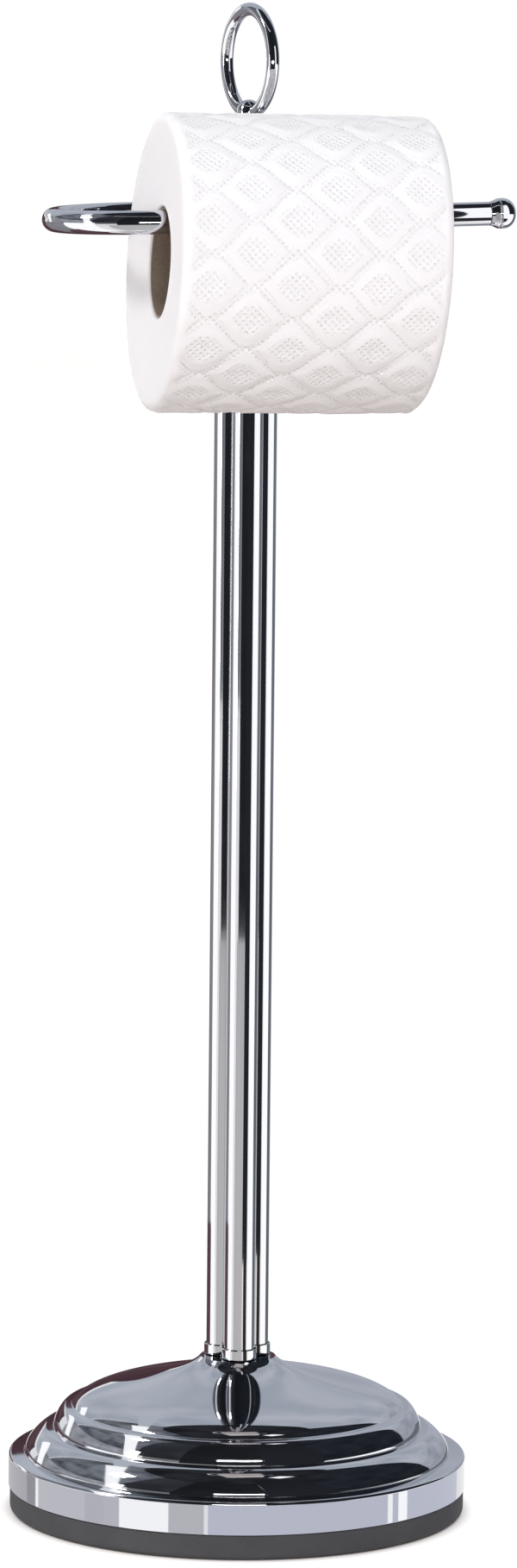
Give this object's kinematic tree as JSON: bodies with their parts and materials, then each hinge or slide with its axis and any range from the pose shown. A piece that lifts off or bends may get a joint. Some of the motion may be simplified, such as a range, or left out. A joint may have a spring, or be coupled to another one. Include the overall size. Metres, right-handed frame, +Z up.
{
  "type": "freestanding toilet paper holder",
  "caption": "Freestanding toilet paper holder with a weighted stepped base, a column of touching tubes, a bent arm that carries a roll, and a carry ring on top.",
  "frame": {"origin": "middle of the flat underside of the base, on the column's axis", "axes": "+Z up along the column, +X along the arm's free end, -Y towards the front, where the roll hangs"},
  "size_m": [0.19, 0.2318, 0.6229],
  "materials": {
    "chrome_cover": "bright chrome plate",
    "chrome_tube": "bright chrome plate",
    "chrome_fitting": "bright chrome plate",
    "chrome_arm": "bright chrome plate",
    "foot_rubber": "matt moulded rubber",
    "pad_foam": "matt foam sheet",
    "weight_iron": "black painted casting",
    "zinc_steel": "zinc plated",
    "core_board": "grey brown wound board",
    "tissue": "soft white embossed tissue"
  },
  "bodies": {
    "stand": {"base_cover": "chrome_cover", "foot_ring": "foot_rubber", "base_pad": "pad_foam", "base_weight": "weight_iron", "base_screw_front": "zinc_steel", "base_screw_right": "zinc_steel", "base_screw_left": "zinc_steel", "base_washer_front": "zinc_steel", "base_washer_right": "zinc_steel", "base_washer_left": "zinc_steel", "foot_collar": "chrome_fitting", "front_tube": "chrome_tube", "right_tube": "chrome_tube", "left_tube": "chrome_tube", "foot_insert_front": "zinc_steel", "foot_insert_right": "zinc_steel", "foot_insert_left": "zinc_steel", "head_insert_front": "zinc_steel", "head_insert_right": "zinc_steel", "head_insert_left": "zinc_steel", "head_collar": "chrome_fitting", "head_screw_front": "zinc_steel", "head_screw_right": "zinc_steel", "head_screw_left": "zinc_steel", "arm_hub": "chrome_fitting", "hub_stud": "zinc_steel", "arm_screw": "zinc_steel", "arm_tube": "chrome_arm", "arm_plug": "zinc_steel", "arm_tip": "chrome_arm", "ring_finial": "chrome_fitting", "carry_ring": "chrome_fitting"},
    "core": {"roll_core": "core_board"},
    "paper": {"paper_roll": "tissue"}
  },
  "joints": [
    {"name": "roll_draw_off", "type": "slide", "parent": "stand", "child": "core", "axis": [0.9969, 0, 0.0785], "range_m": [0, 0.155]},
    {"name": "paper_turn", "type": "hinge", "parent": "core", "child": "paper", "pos_m": [-0.00049, -0.07761, 0.52293], "axis": [0.9997, 0, 0.0262], "continuous": true}
  ]
}
